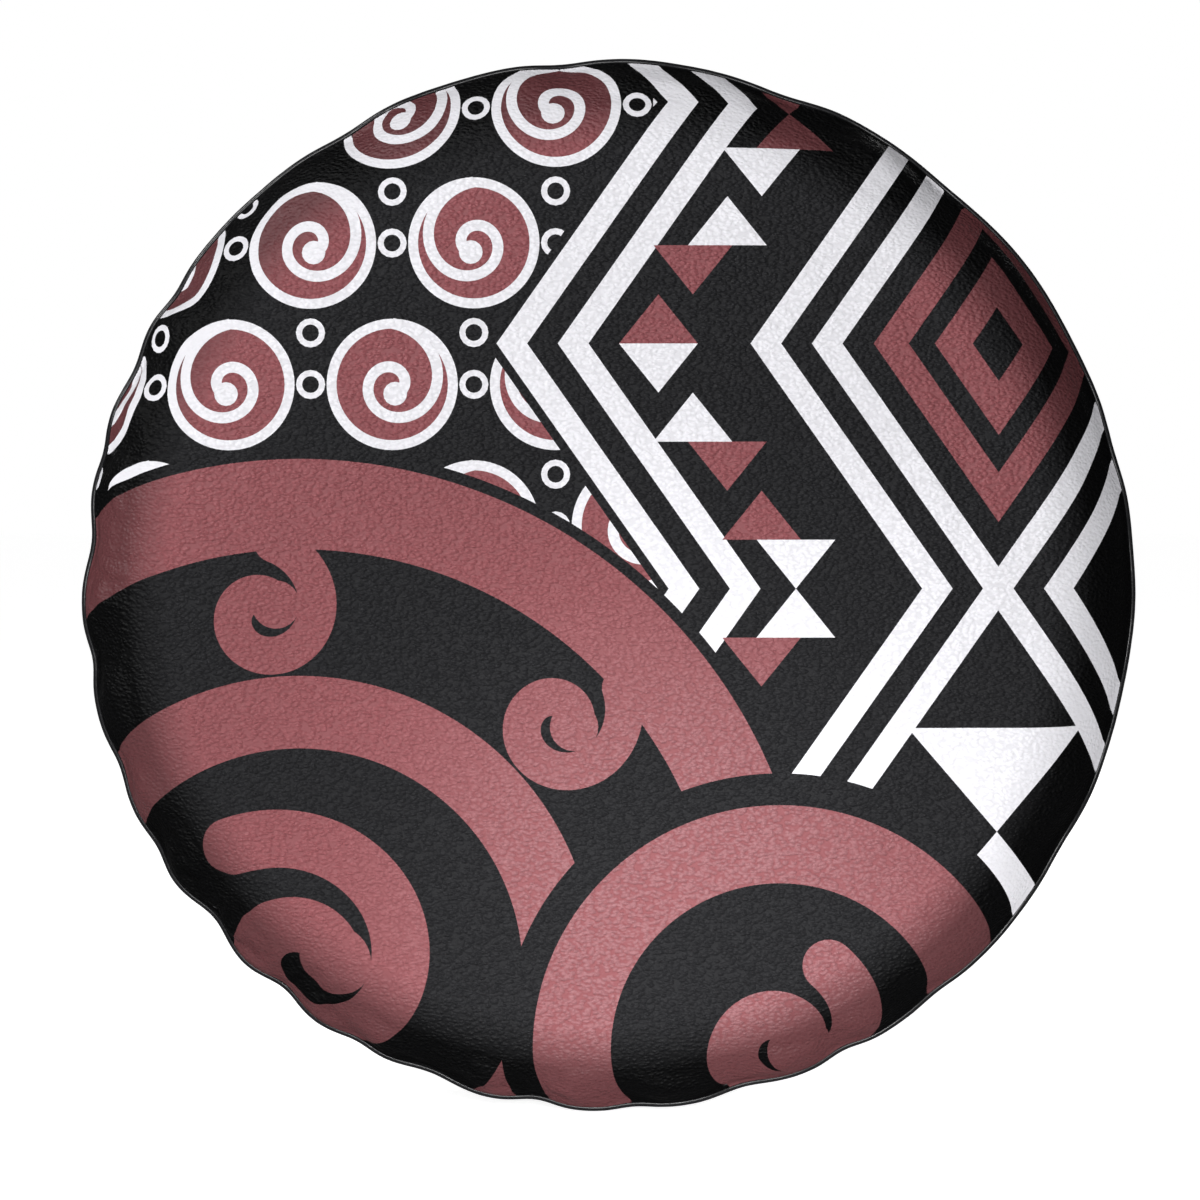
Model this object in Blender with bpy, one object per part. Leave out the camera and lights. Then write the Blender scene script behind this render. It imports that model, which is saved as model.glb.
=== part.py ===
"""Spare tyre cover: a printed leatherette face, a side band in two halves, a piped front seam and an elastic rear hem.

Metres, +Z up. The printed face looks along -Y, and the tyre goes in from +Y. The origin is on the wheel's axis, at the
inside of the face, where the tyre's side rests. Every ring is a section in the plane of radius and Y, spun about Y.
Along each section the inner side of the sheet is on the left.
"""

import math

import bmesh
import bpy
from mathutils import Vector

MM = 0.001

# The tyre that the cover is cut for, a 225/75R15.
TYRE_DIAMETER = 0.719
TYRE_WIDTH = 0.223
TYRE_EASE = 1.5 * MM

# The coated cloth: its leatherette skin, its knitted backing, and the gap that keeps the two solids apart.
SKIN = 1.0 * MM
BACKING = 0.6 * MM
GAP = 0.3 * MM
SHEET = SKIN + GAP + BACKING

# The face: a flat middle, a low crown over the tyre's sidewall, and a shoulder that rounds back to the seam.
RIM_RADIUS = TYRE_DIAMETER / 2 + TYRE_EASE + SHEET
FLAT_RADIUS = 0.100
CROWN_RADIUS = 0.300
CROWN_DROP = 6 * MM

# The front seam: the plies turn in, side by side, with the piping's flange between them.
SEAM_Y = 0.045
ALLOWANCE = 9 * MM
FOLD_RADIUS = 3 * MM
PIPING_SKIN = 0.6 * MM
PIPING_RADIUS = 2.2 * MM
PIPING_PROUD = 0.8 * MM
CORE_RADIUS = 1.15 * MM
FLANGE_HALF = PIPING_SKIN + GAP / 2
PLY_OFFSET = FLANGE_HALF + GAP

# The band: straight over the tread, then round the rear shoulder to the elastic hem.
SHOULDER_Y = 0.185
REAR_Y = TYRE_WIDTH + 9 * MM
SHOULDER_RADIUS = 0.290
HEM_RADIUS = 0.268
HEM_RETURN = 19 * MM

# The elastic in the hem is one strip whose ends overlap at the bottom.
ELASTIC_WIDTH = 10 * MM
ELASTIC_THICKNESS = 1 * MM
ELASTIC_OVERLAP_DEG = 2.5
ELASTIC_STEP_DEG = 8.0
CASING_ROOM = ELASTIC_THICKNESS + 1.5 * GAP
HEM_FOLD = CASING_ROOM + SHEET

# The two halves of the band meet at the top and the bottom, with a fin of turned-in cloth on each side of the joint.
JOINT_GAP_DEG = 0.025
FIN_START_Y = SEAM_Y + 6.5 * MM
FIN_CLEARANCE = 0.25 * MM
BACKING_FIN_X = FIN_CLEARANCE + SKIN + 0.4 * MM
BACKING_GAP_DEG = math.degrees((BACKING_FIN_X - 0.1 * MM) / HEM_RADIUS)

THREAD = 0.4 * MM
STITCH_INSET = 6 * MM

STEPS = 40
TOP, BOTTOM = 90.0, -90.0

COLOURS = {
    "print": ((0.29, 0.10, 0.11, 1), 0.5),
    "leatherette": ((0.012, 0.012, 0.013, 1), 0.45),
    "backing": ((0.10, 0.10, 0.105, 1), 0.95),
    "piping": ((0.010, 0.010, 0.011, 1), 0.25),
    "core": ((0.75, 0.73, 0.68, 1), 0.8),
    "elastic": ((0.70, 0.70, 0.68, 1), 0.85),
    "thread": ((0.02, 0.02, 0.02, 1), 0.6),
}


def clear_scene():
    for obj in list(bpy.data.objects):
        bpy.data.objects.remove(obj)


def material(name):
    found = bpy.data.materials.get(name)
    if found:
        return found
    colour, roughness = COLOURS[name]
    made = bpy.data.materials.new(name)
    made.use_nodes = True
    shader = made.node_tree.nodes["Principled BSDF"]
    shader.inputs["Base Color"].default_value = colour
    shader.inputs["Roughness"].default_value = roughness
    shader.inputs["Metallic"].default_value = 0.0
    return made


def add_object(name, data, material_name):
    obj = bpy.data.objects.new(name, data)
    bpy.context.scene.collection.objects.link(obj)
    data.materials.append(material(material_name))
    return obj


def mesh_object(name, bm, material_name):
    bmesh.ops.recalc_face_normals(bm, faces=bm.faces)
    mesh = bpy.data.meshes.new(name)
    bm.to_mesh(mesh)
    bm.free()
    mesh.shade_smooth()
    mesh.set_sharp_from_angle(angle=math.radians(35))
    return add_object(name, mesh, material_name)


# Sections, as lists of (radius, y).


def arc(centre, radius, start_deg, end_deg, steps, squash=1.0):
    """Points on a circle, or on an ellipse whose Y half-axis is radius times squash."""
    points = []
    for i in range(steps + 1):
        angle = math.radians(start_deg + (end_deg - start_deg) * i / steps)
        points.append(
            (centre[0] + radius * math.cos(angle), centre[1] + radius * squash * math.sin(angle))
        )
    return points


def offset(points, distance):
    """The line moved to its left by distance, with mitred corners."""
    line = [Vector(p) for p in points]
    sides = []
    for a, b in zip(line, line[1:]):
        run = (b - a).normalized()
        sides.append(Vector((-run.y, run.x)))
    moved = []
    for i, point in enumerate(line):
        before, after = sides[max(i - 1, 0)], sides[min(i, len(sides) - 1)]
        middle = (before + after).normalized()
        moved.append(tuple(point + middle * (distance / middle.dot(after))))
    return moved


def sheet_section(outer, start, thickness):
    """The closed outline of a ply that begins at start below the line outer and has this thickness."""
    return offset(outer, start) + offset(outer, start + thickness)[::-1]


def face_line():
    """The outside of the face, from the wheel's axis over the shoulder and in along the seam allowance."""
    crown = (CROWN_RADIUS, -SHEET + CROWN_DROP)
    fold = (RIM_RADIUS - FOLD_RADIUS, SEAM_Y - PLY_OFFSET - FOLD_RADIUS)
    width, depth = RIM_RADIUS - CROWN_RADIUS, fold[1] - crown[1]
    shoulder = arc((CROWN_RADIUS, fold[1]), width, -90, 0, 5, squash=depth / width)
    return (
        [(0, -SHEET), (FLAT_RADIUS, -SHEET)]
        + shoulder
        + arc(fold, FOLD_RADIUS, 0, 90, 2)[1:]
        + [(RIM_RADIUS - ALLOWANCE, SEAM_Y - PLY_OFFSET)]
    )


def shoulder_line():
    """The part of the band that a joint's fins follow: over the tread and round the rear shoulder."""
    width, depth = RIM_RADIUS - SHOULDER_RADIUS, REAR_Y - SHOULDER_Y
    return arc((SHOULDER_RADIUS, SHOULDER_Y), width, 0, 90, 5, squash=depth / width)


def band_line():
    """The outside of the band, from its seam allowance to the turned-in edge of the hem."""
    fold = (RIM_RADIUS - FOLD_RADIUS, SEAM_Y + PLY_OFFSET + FOLD_RADIUS)
    return (
        [(RIM_RADIUS - ALLOWANCE, SEAM_Y + PLY_OFFSET)]
        + arc(fold, FOLD_RADIUS, -90, 0, 2)
        + shoulder_line()
        + arc((HEM_RADIUS, REAR_Y - HEM_FOLD), HEM_FOLD, 90, 270, 4)
        + [(HEM_RADIUS + HEM_RETURN, REAR_Y - 2 * HEM_FOLD)]
    )


def piping_line():
    """The outside of the piping's strip: one flange ply, round the core, and the other ply."""
    centre = (RIM_RADIUS + PIPING_PROUD, SEAM_Y)
    meet = math.degrees(math.asin(FLANGE_HALF / PIPING_RADIUS))
    return (
        [(RIM_RADIUS - ALLOWANCE, SEAM_Y - FLANGE_HALF)]
        + arc(centre, PIPING_RADIUS, meet - 180, 180 - meet, 6)
        + [(RIM_RADIUS - ALLOWANCE, SEAM_Y + FLANGE_HALF)]
    )


# Solids.


def spin(bm, points, start_deg, end_deg, closed=True):
    """Spins a section about Y. A part turn is capped at both ends, and a full turn is merged."""
    angle = math.radians(start_deg)
    verts = [bm.verts.new((r * math.cos(angle), y, r * math.sin(angle))) for r, y in points]
    sweep = end_deg - start_deg
    full = sweep == 360
    if full:
        pairs = list(zip(verts, verts[1:] + verts[:1])) if closed else list(zip(verts, verts[1:]))
        geometry = verts + [bm.edges.new(pair) for pair in pairs]
    else:
        geometry = [bm.faces.new(verts)]
    steps = max(1, round(STEPS * sweep / 360))
    bmesh.ops.spin(
        bm, geom=geometry, cent=(0, 0, 0), axis=(0, -1, 0), angle=math.radians(sweep), steps=steps, use_merge=full
    )
    bmesh.ops.remove_doubles(bm, verts=bm.verts, dist=1e-6)


def ring(name, points, material_name, closed=True):
    bm = bmesh.new()
    spin(bm, points, 0, 360, closed)
    return mesh_object(name, bm, material_name)


def make_face():
    """The skin and its backing. Both sections begin and end on the axis, so they are left open there."""
    line = face_line()
    ring("front_panel", sheet_section(line, 0, SKIN), "print", closed=False)
    ring("front_backing", sheet_section(line, SKIN + GAP, BACKING), "backing", closed=False)


def fin(name, top_line, first, near_x, thickness, side, end_sign):
    """A joint's turned-in cloth: it stands inwards from the ply, beside the joint's plane."""
    line = [(RIM_RADIUS, FIN_START_Y)] + top_line[:-1]
    outline = offset(line, first) + offset(line, ALLOWANCE)[::-1]
    bm = bmesh.new()
    verts = [bm.verts.new((side * near_x, y, end_sign * r)) for r, y in outline]
    face = bm.faces.new(verts)
    grown = bmesh.ops.extrude_face_region(bm, geom=[face])["geom"]
    moved = [v for v in grown if isinstance(v, bmesh.types.BMVert)]
    bmesh.ops.translate(bm, verts=moved, vec=(side * thickness, 0, 0))
    made = mesh_object(name, bm, "backing")
    made.hide_render = True
    made.display_type = "WIRE"
    return made


def band_ply(name, side, first, thickness, gap_deg, fin_x, material_name):
    """One ply of half the band, with a fin at the top joint and one at the bottom. side is 1 for the +X half."""
    start, end = (BOTTOM, TOP) if side > 0 else (TOP, TOP + 180)
    bm = bmesh.new()
    spin(bm, sheet_section(band_line(), first, thickness), start + gap_deg, end - gap_deg)
    ply = mesh_object(name, bm, material_name)
    for label, end_sign in (("top", 1), ("bottom", -1)):
        joined = ply.modifiers.new(f"{label}_fin", "BOOLEAN")
        joined.operation = "UNION"
        joined.object = fin(
            f"{name}_{label}_fin", shoulder_line(), first + thickness / 2, fin_x, thickness, side, end_sign
        )
    return ply


def make_band():
    for label, side in (("right", 1), ("left", -1)):
        band_ply(f"band_{label}", side, 0, SKIN, JOINT_GAP_DEG, FIN_CLEARANCE, "leatherette")
        band_ply(
            f"band_{label}_backing", side, SKIN + GAP, BACKING, BACKING_GAP_DEG, BACKING_FIN_X, "backing"
        )


def make_piping():
    ring("piping_cover", sheet_section(piping_line(), 0, PIPING_SKIN), "piping")
    core = arc((RIM_RADIUS + PIPING_PROUD, SEAM_Y), CORE_RADIUS, 0, 360, 6)[:-1]
    ring("piping_core", core, "core")


def make_elastic():
    """One flat strip round the hem. Its two ends step apart, so that one lies on the other."""
    middle_y = REAR_Y - HEM_FOLD
    step_apart = (ELASTIC_THICKNESS + GAP) / 2
    inner, outer = HEM_RADIUS + 1.5 * MM, HEM_RADIUS + 1.5 * MM + ELASTIC_WIDTH
    first, last = BOTTOM - ELASTIC_OVERLAP_DEG, BOTTOM + 360 + ELASTIC_OVERLAP_DEG
    bm = bmesh.new()
    rings = []
    for i in range(STEPS + 3):
        angle_deg = first + (last - first) * i / (STEPS + 2)
        from_start = (angle_deg - first - 2 * ELASTIC_OVERLAP_DEG) / ELASTIC_STEP_DEG
        to_end = (last - 2 * ELASTIC_OVERLAP_DEG - angle_deg) / ELASTIC_STEP_DEG
        lift = step_apart * (1 - min(1, max(0, from_start))) - step_apart * (1 - min(1, max(0, to_end)))
        angle = math.radians(angle_deg)
        corners = [(inner, -1), (outer, -1), (outer, 1), (inner, 1)]
        rings.append(
            [
                bm.verts.new(
                    (
                        r * math.cos(angle),
                        middle_y + lift + side * ELASTIC_THICKNESS / 2,
                        r * math.sin(angle),
                    )
                )
                for r, side in corners
            ]
        )
    bm.faces.new(rings[0])
    bm.faces.new(rings[-1])
    for a, b in zip(rings, rings[1:]):
        for j in range(4):
            k = (j + 1) % 4
            bm.faces.new((a[j], a[k], b[k], b[j]))
    mesh_object("hem_elastic", bm, "elastic")


def thread(name, points, closed):
    """A sewing thread along points, as a four-sided tube."""
    curve = bpy.data.curves.new(name, "CURVE")
    curve.dimensions = "3D"
    curve.bevel_depth = THREAD
    curve.bevel_resolution = 0
    curve.use_fill_caps = True
    spline = curve.splines.new("POLY")
    spline.points.add(len(points) - 1)
    for knot, point in zip(spline.points, points):
        knot.co = (*point, 1)
    spline.use_cyclic_u = closed
    return add_object(name, curve, "thread")


def thread_ring(name, radius, y):
    angles = [2 * math.pi * i / STEPS for i in range(STEPS)]
    thread(name, [(radius * math.cos(a), y, radius * math.sin(a)) for a in angles], closed=True)


def make_threads():
    """Each lockstitch seam shows its needle thread on one side of the cloth and its bobbin thread on the other."""
    clear = THREAD + GAP
    seam_side = PLY_OFFSET + SHEET + clear
    thread_ring("front_seam_needle_thread", RIM_RADIUS - STITCH_INSET, SEAM_Y - seam_side)
    thread_ring("front_seam_bobbin_thread", RIM_RADIUS - STITCH_INSET, SEAM_Y + seam_side)
    hem_radius = HEM_RADIUS + HEM_RETURN - 3 * MM
    thread_ring("hem_needle_thread", hem_radius, REAR_Y + clear)
    thread_ring("hem_bobbin_thread", hem_radius, REAR_Y - 2 * HEM_FOLD - clear)
    beside = BACKING_FIN_X + BACKING + clear
    line = offset([(RIM_RADIUS, FIN_START_Y + 2 * MM)] + shoulder_line()[:-1], STITCH_INSET)
    for label, sign in (("top", 1), ("bottom", -1)):
        for kind, side in (("needle", 1), ("bobbin", -1)):
            path = [(side * beside, y, sign * r) for r, y in line]
            thread(f"{label}_joint_{kind}_thread", path, closed=False)


def main():
    clear_scene()
    make_face()
    make_band()
    make_piping()
    make_elastic()
    make_threads()


main()
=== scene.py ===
"""Looks of the spare tyre cover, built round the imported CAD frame.

The cloth is worked out as one grid of points. Its rows run round the wheel, from near the axis out over the
face, past the front seam and along the band to the hem; its columns are even steps round the wheel. A cloth
simulation folds the grid over a tyre, and every sheet, seam and row of stitches is then cut from the folded
surface.

Metres, in the frame's axes: the printed face looks along -Y, and +Z is up. Angles run from +X towards +Z.
"""

import math

import bmesh
import bpy
import numpy as np
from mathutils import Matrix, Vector, noise
from mathutils.geometry import delaunay_2d_cdt


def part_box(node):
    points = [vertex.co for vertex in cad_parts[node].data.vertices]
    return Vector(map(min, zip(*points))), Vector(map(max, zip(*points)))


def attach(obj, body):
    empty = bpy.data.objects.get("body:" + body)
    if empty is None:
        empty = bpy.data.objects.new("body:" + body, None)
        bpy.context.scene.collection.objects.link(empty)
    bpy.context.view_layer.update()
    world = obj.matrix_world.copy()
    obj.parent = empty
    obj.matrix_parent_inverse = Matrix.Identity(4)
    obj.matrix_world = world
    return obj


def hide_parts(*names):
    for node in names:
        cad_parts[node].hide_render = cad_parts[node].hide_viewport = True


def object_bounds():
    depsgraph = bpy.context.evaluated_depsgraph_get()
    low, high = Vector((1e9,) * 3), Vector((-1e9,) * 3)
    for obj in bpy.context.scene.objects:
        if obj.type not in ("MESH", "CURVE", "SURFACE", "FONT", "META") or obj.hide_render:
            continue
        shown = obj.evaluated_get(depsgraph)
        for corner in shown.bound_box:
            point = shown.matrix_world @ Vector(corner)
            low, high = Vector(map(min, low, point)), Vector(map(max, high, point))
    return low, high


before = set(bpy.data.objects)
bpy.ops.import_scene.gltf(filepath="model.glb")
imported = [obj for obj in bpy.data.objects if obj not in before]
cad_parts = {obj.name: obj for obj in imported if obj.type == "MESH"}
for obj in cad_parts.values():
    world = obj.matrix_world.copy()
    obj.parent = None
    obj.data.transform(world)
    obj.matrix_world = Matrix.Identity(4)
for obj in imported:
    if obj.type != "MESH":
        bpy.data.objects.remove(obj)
CAD_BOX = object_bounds()

MM = 0.001

# The frame's own sizes.
RIM_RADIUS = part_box("front_panel")[1].x
FACE_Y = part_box("front_panel")[0].y
SEAM_Y = (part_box("piping_core")[0].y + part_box("piping_core")[1].y) / 2
REAR_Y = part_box("band_right")[1].y
PIPING_RADIUS = (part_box("piping_cover")[1].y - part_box("piping_cover")[0].y) / 2
PIPING_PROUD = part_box("piping_cover")[1].x - PIPING_RADIUS - RIM_RADIUS

# The rest of the cover's section, as the CAD has it.
CROWN_RADIUS, CROWN_DROP = 0.300, 6 * MM
SHOULDER_Y, SHOULDER_RADIUS = 0.185, 0.290
HEM_RADIUS = 0.268
SKIN, BACKING, GAP = 1.0 * MM, 0.6 * MM, 0.1 * MM
ALLOWANCE = 9 * MM
SEAM_FOLD, HEM_FOLD = 2.2 * MM, 2.7 * MM
PLY_OFFSET, FLANGE_HALF, PIPING_SKIN = 1.05 * MM, 0.75 * MM, 0.6 * MM
HEM_RETURN = 19 * MM
JOINT_FOLD, JOINT_GAP = 2.0 * MM, 0.15 * MM
THREAD = 0.4 * MM

# The grid. The cloth is FULLNESS longer round the seam than the seam is on the tyre.
COLUMNS = 384
ROW_STEP = 5 * MM
TAUT_RADIUS = 0.220
FULLNESS = 1.05
ANGLES = np.arange(COLUMNS) * 2 * math.pi / COLUMNS

# Where the front seam is pulled in: its bearing and half width in degrees, and its depth in millimetres.
PUCKERS = (
    (50, 5, 2.5), (70, 5, 4.0), (95, 3, 2.0), (120, 4, 3.0), (146, 2.5, 3.0), (155, 3, 4.0),
    (165, 2.5, 3.5), (175, 3.5, 6.0), (188, 2.5, 4.5), (200, 3, 4.5), (210, 2.5, 4.0), (220, 3.5, 8.0),
    (231, 3, 7.0), (241, 2.5, 4.0), (250, 4, 5.5), (262, 2.5, 4.5), (273, 2.5, 3.0), (285, 3.5, 5.0),
    (297, 2.5, 4.0), (309, 2.5, 2.0), (330, 4, 2.0), (15, 4, 1.5),
)


def ripple(angles, level, coarseness, seed):
    """Smooth noise from -1 to 1 round the wheel, with about 6 * coarseness swings in a turn."""
    shift = Vector((13.1 * seed, 2.7, 5.9))
    circle_points = [Vector((math.cos(a) * coarseness, math.sin(a) * coarseness, level)) for a in angles]
    return np.array([noise.noise(point + shift) for point in circle_points])


# The section of the cover, before it folds.


def even_steps(line):
    """The line as points about ROW_STEP apart, with the length along it to each."""
    run = np.r_[0, np.cumsum(np.linalg.norm(np.diff(line, axis=0), axis=1))]
    along = np.linspace(0, run[-1], round(run[-1] / ROW_STEP) + 1)
    return np.c_[np.interp(along, run, line[:, 0]), np.interp(along, run, line[:, 1])], along


def bowed(*corners):
    """Points on a cubic Bezier curve."""
    t = np.linspace(0, 1, 60)[:, None]
    weights = ((1 - t) ** 3, 3 * t * (1 - t) ** 2, 3 * t * t * (1 - t), t**3)
    return sum(weight * np.array(corner) for weight, corner in zip(weights, corners))


def face_section():
    """From the axis over the crown and the shoulder to the front seam."""
    flat = np.linspace(0, CROWN_RADIUS, 60)
    crown = FACE_Y + CROWN_DROP * (flat / CROWN_RADIUS) ** 2
    edge, rise = crown[-1], 2 * CROWN_DROP / CROWN_RADIUS
    shoulder = bowed(
        (CROWN_RADIUS, edge),
        (CROWN_RADIUS + 0.030, edge + 0.030 * rise),
        (RIM_RADIUS - 0.009, edge + 0.020),
        (RIM_RADIUS, SEAM_Y),
    )
    return even_steps(np.vstack([np.c_[flat, crown], shoulder[1:]]))


def band_section():
    """From the front seam over the tread and the rear shoulder to the hem's edge."""
    turn = np.radians(np.linspace(0, 90, 60))
    half_r, half_y = RIM_RADIUS - SHOULDER_RADIUS, REAR_Y - SHOULDER_Y
    shoulder = np.c_[SHOULDER_RADIUS + half_r * np.cos(turn), SHOULDER_Y + half_y * np.sin(turn)]
    return even_steps(np.vstack([[[RIM_RADIUS, SEAM_Y]], shoulder, [[HEM_RADIUS, REAR_Y]]]))


def hump(distance, reach):
    """A smooth bump, 1 at distance 0."""
    return np.exp(-((distance / reach) ** 2))


def seam_shift():
    """How far the front seam lies from its circle, outwards and towards the back, at each column."""
    degrees = np.degrees(ANGLES)
    outward = 1.6 * MM * ripple(ANGLES, 0.0, 6, 1)
    for bearing, half_width, depth in PUCKERS:
        outward -= depth * MM * hump((degrees - bearing + 180) % 360 - 180, half_width)
    backward = 3.0 * MM * ripple(ANGLES, 0.0, 9, 2)
    return outward, backward


def gather(count, level, seed):
    """A wave of count uneven folds round the wheel, from -1 to 1."""
    pace = np.cumsum(1 + 0.5 * ripple(ANGLES, level, 12, seed))
    phase = pace * 2 * math.pi * count / pace[-1]
    return np.sin(phase) * (1 + 0.5 * ripple(ANGLES, level, 10, seed + 3))


def shoulder_folds():
    """Folds that run in from the front seam at each pucker: a valley between two low ridges."""
    degrees = np.degrees(ANGLES)
    folds = 0.6 * MM * ripple(ANGLES, 9.0, 14, 6)
    for bearing, half_width, depth in PUCKERS:
        away = (degrees - bearing + 180) % 360 - 180
        folds -= 0.75 * depth * MM * hump(away, half_width * 0.75)
        for side in (-1, 1):
            folds += 0.45 * depth * MM * hump(away - side * 1.9 * half_width, half_width * 0.9)
    return folds


def folded_start(section, lengths, seam_length):
    """The cloth before simulation: the section turned round the axis, with its gathers begun."""
    outward, backward = seam_shift()
    fine, broad = gather(60, 3.0, 4), gather(30, 6.0, 5)
    folds = shoulder_folds()
    points = []
    slope = np.gradient(section, lengths, axis=0)
    slope /= np.linalg.norm(slope, axis=1, keepdims=True)
    for row, ((radius, y), (dr, dy)) in enumerate(zip(section, slope)):
        from_seam = lengths[row] - seam_length
        from_hem = lengths[-1] - lengths[row]
        near = hump(from_seam, 32 * MM if from_seam < 0 else 25 * MM)
        lift = 0.4 * MM * ripple(ANGLES, 40 * lengths[row], 8, 7)
        if from_seam < 0:
            skewed = np.roll(folds, round(2 * math.sin(from_seam * 60)))
            lift += skewed * hump(from_seam + 22 * MM, 20 * MM)
        else:
            lift += 0.5 * folds * hump(from_seam - 16 * MM, 16 * MM)
            lift += 5.0 * MM * fine * hump(from_hem, 32 * MM)
            lift += 3.4 * MM * broad * hump(from_hem - 52 * MM, 34 * MM)
        points.append(around(radius + near * outward + lift * dy, y + near * backward - lift * dr, ANGLES))
    return np.array(points)


def around(radius, y, angles):
    """Points round the wheel's axis, at a radius and a Y for each of these angles."""
    y = np.broadcast_to(y, np.shape(radius))
    return np.stack([radius * np.cos(angles), y, radius * np.sin(angles)], axis=-1)


def turned_round(section, angles):
    """A grid of points: each row is one point of the section, radius and Y, at all these angles."""
    return np.array([around(np.full(len(angles), radius), y, angles) for radius, y in section])


# The simulation.


def grid_faces(rows, columns, closed=True):
    """Quads of a grid as a (faces, 4) array."""
    ids = np.arange(rows * columns).reshape(rows, columns)
    right = np.roll(ids, -1, axis=1) if closed else ids[:, 1:]
    left = ids if closed else ids[:, :-1]
    return np.stack([left[:-1], right[:-1], right[1:], left[1:]], axis=-1).reshape(-1, 4)


def new_mesh(name, points, faces):
    mesh = bpy.data.meshes.new(name)
    mesh.from_pydata(points.tolist(), [], faces if isinstance(faces, list) else faces.tolist())
    return mesh


def new_object(name, data):
    obj = bpy.data.objects.new(name, data)
    bpy.context.scene.collection.objects.link(obj)
    return obj


def tyre_collider():
    """The tyre that the cloth folds over: just inside the lining, and smaller still at its shoulders."""
    line = np.vstack([face_section()[0], band_section()[0][1:]])
    slope = np.gradient(line, axis=0)
    slope /= np.linalg.norm(slope, axis=1, keepdims=True)
    inside = SKIN + BACKING + GAP + 1.0 * MM + 2.5 * MM * hump(line[:, 0] - RIM_RADIUS, 22 * MM)
    line = line - np.c_[slope[:, 1], -slope[:, 0]] * inside[:, None]
    line = line[(line[:, 0] > TAUT_RADIUS + 12 * MM) | (line[:, 1] > SEAM_Y)][::2]
    front = [[0.001, 0.012], [0.19, 0.012], [TAUT_RADIUS, 0.006]]
    back = [[0.24, REAR_Y - 12 * MM], [0.001, REAR_Y - 14 * MM]]
    section = np.vstack([front, line, back])
    angles = np.linspace(0, 2 * math.pi, 96, endpoint=False)
    points = turned_round(section, angles).reshape(-1, 3)
    tyre = new_object("tyre", new_mesh("tyre", points, grid_faces(len(section), len(angles))))
    bm = bmesh.new()
    bm.from_mesh(tyre.data)
    bmesh.ops.recalc_face_normals(bm, faces=bm.faces)
    bm.to_mesh(tyre.data)
    bm.free()
    tyre.modifiers.new("Collision", "COLLISION")
    tyre.collision.thickness_outer = 1 * MM
    tyre.collision.cloth_friction = 2
    return tyre


def unfolded(lengths, seam_row):
    """The cut cloth rolled up: the face as a shallow cone and the band as a tube, at their full girth."""
    full = RIM_RADIUS * FULLNESS
    radius = np.full(len(lengths), full)
    share = (lengths[: seam_row + 1] - lengths[0]) / (lengths[seam_row] - lengths[0])
    radius[: seam_row + 1] = TAUT_RADIUS + share * (full - TAUT_RADIUS)
    rise = np.sqrt(np.maximum(np.diff(lengths) ** 2 - np.diff(radius) ** 2, 0))
    height = np.r_[0, np.cumsum(rise)]
    return turned_round(np.c_[radius, height], ANGLES)


def simulate(points, lengths, seam_row, steps=26):
    """Folds the cloth over the tyre. The taut edge, the seam and the hem's edge are held."""
    rows = len(points)
    cloth = new_object("cloth", new_mesh("cloth", points.reshape(-1, 3), grid_faces(rows, COLUMNS)))
    cloth.shape_key_add(name="worn", from_mix=False)
    cut = cloth.shape_key_add(name="cut", from_mix=False)
    cut.data.foreach_set("co", unfolded(lengths, seam_row).astype(np.float32).ravel())
    cut.value = 0
    held = cloth.vertex_groups.new(name="held")
    for row in (0, 1, seam_row - 1, seam_row, seam_row + 1, rows - 1):
        held.add(range(row * COLUMNS, (row + 1) * COLUMNS), 1.0, "REPLACE")
    tyre = tyre_collider()
    modifier = cloth.modifiers.new("Cloth", "CLOTH")
    settings = modifier.settings
    settings.quality = 6
    settings.mass = 0.02
    settings.tension_stiffness = settings.compression_stiffness = 40
    settings.shear_stiffness = 8
    settings.bending_stiffness = 0.2
    settings.tension_damping = settings.compression_damping = settings.shear_damping = 2
    settings.air_damping = 1.5
    settings.vertex_group_mass = "held"
    settings.rest_shape_key = cut
    settings.effector_weights.gravity = 0
    modifier.collision_settings.distance_min = 1 * MM
    modifier.collision_settings.use_self_collision = False
    modifier.point_cache.frame_start, modifier.point_cache.frame_end = 1, steps
    scene = bpy.context.scene
    for step in range(1, steps + 1):
        scene.frame_set(step)
    worn = cloth.evaluated_get(bpy.context.evaluated_depsgraph_get()).to_mesh()
    result = np.empty(len(worn.vertices) * 3, np.float32)
    worn.vertices.foreach_get("co", result)
    scene.frame_set(1)
    bpy.data.objects.remove(cloth)
    bpy.data.objects.remove(tyre)
    return result.reshape(points.shape).astype(float)


# The folded surface.


def spline_weights(f):
    """The weights of a uniform cubic B-spline at f between two points, and those of its slope."""
    weights = np.stack([(1 - f) ** 3, 3 * f**3 - 6 * f**2 + 4, -3 * f**3 + 3 * f**2 + 3 * f + 1, f**3]) / 6
    slopes = np.stack([-((1 - f) ** 2), 3 * f**2 - 4 * f, -3 * f**2 + 2 * f + 1, f**2]) / 2
    return weights, slopes


def unit(vectors, instead=(0.0, -1.0, 0.0)):
    """The vectors at length 1. One with no length, as at the wheel's axis, becomes instead."""
    length = np.linalg.norm(vectors, axis=-1, keepdims=True)
    return np.where(length > 1e-15, vectors / np.maximum(length, 1e-15), instead)


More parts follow.
